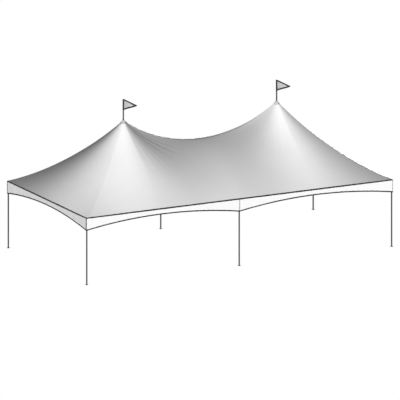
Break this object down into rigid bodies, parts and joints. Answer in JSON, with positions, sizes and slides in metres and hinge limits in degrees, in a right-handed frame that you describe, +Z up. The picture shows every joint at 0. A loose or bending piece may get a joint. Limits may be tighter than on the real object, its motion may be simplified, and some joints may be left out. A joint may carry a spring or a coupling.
{
  "type": "marquee tent",
  "caption": "High-peak frame marquee: vinyl roof drawn up to two peaks, scalloped valance, open sides, slim metal legs and a pennant on each peak.",
  "frame": {"origin": "on the ground under the middle of the roof", "axes": "+X along the length, from the left bay to the right one; +Y from the front to the back; +Z up"},
  "size_m": [12.2254, 6.1294, 5.745],
  "materials": {
    "roof_vinyl": "satin coated vinyl",
    "valance_vinyl": "satin coated vinyl",
    "pennant_cloth": "woven cloth",
    "cap_vinyl": "satin coated vinyl",
    "leg_aluminium": "dark anodised",
    "frame_aluminium": "mill",
    "cable_steel": "galvanised",
    "dark_steel": "satin"
  },
  "bodies": {
    "root": {"cable_back_left": "cable_steel", "cable_back_middle_left": "cable_steel", "cable_back_middle_right": "cable_steel", "cable_back_right": "cable_steel", "cable_front_left": "cable_steel", "cable_front_middle_left": "cable_steel", "cable_front_middle_right": "cable_steel", "cable_front_right": "cable_steel", "cross_tube_end_left": "frame_aluminium", "cross_tube_end_right": "frame_aluminium", "cross_tube_middle": "frame_aluminium", "eave_tube_back_left": "frame_aluminium", "eave_tube_back_right": "frame_aluminium", "eave_tube_front_left": "frame_aluminium", "eave_tube_front_right": "frame_aluminium", "fitting_back_left": "frame_aluminium", "fitting_back_middle": "frame_aluminium", "fitting_back_right": "frame_aluminium", "fitting_front_left": "frame_aluminium", "fitting_front_middle": "frame_aluminium", "fitting_front_right": "frame_aluminium", "flagstaff_left": "dark_steel", "flagstaff_right": "dark_steel", "leg_back_left": "leg_aluminium", "leg_back_middle": "leg_aluminium", "leg_back_right": "leg_aluminium", "leg_front_left": "leg_aluminium", "leg_front_middle": "leg_aluminium", "leg_front_right": "leg_aluminium", "mast_left": "frame_aluminium", "mast_right": "frame_aluminium", "peak_cap_left": "cap_vinyl", "peak_cap_right": "cap_vinyl", "pennant_left": "pennant_cloth", "pennant_right": "pennant_cloth", "roof_left_back": "roof_vinyl", "roof_left_end": "roof_vinyl", "roof_left_front": "roof_vinyl", "roof_left_saddle": "roof_vinyl", "roof_right_back": "roof_vinyl", "roof_right_end": "roof_vinyl", "roof_right_front": "roof_vinyl", "roof_right_saddle": "roof_vinyl", "valance_back_left": "valance_vinyl", "valance_back_right": "valance_vinyl", "valance_end_left": "valance_vinyl", "valance_end_right": "valance_vinyl", "valance_front_left": "valance_vinyl", "valance_front_right": "valance_vinyl"}
  },
  "joints": []
}
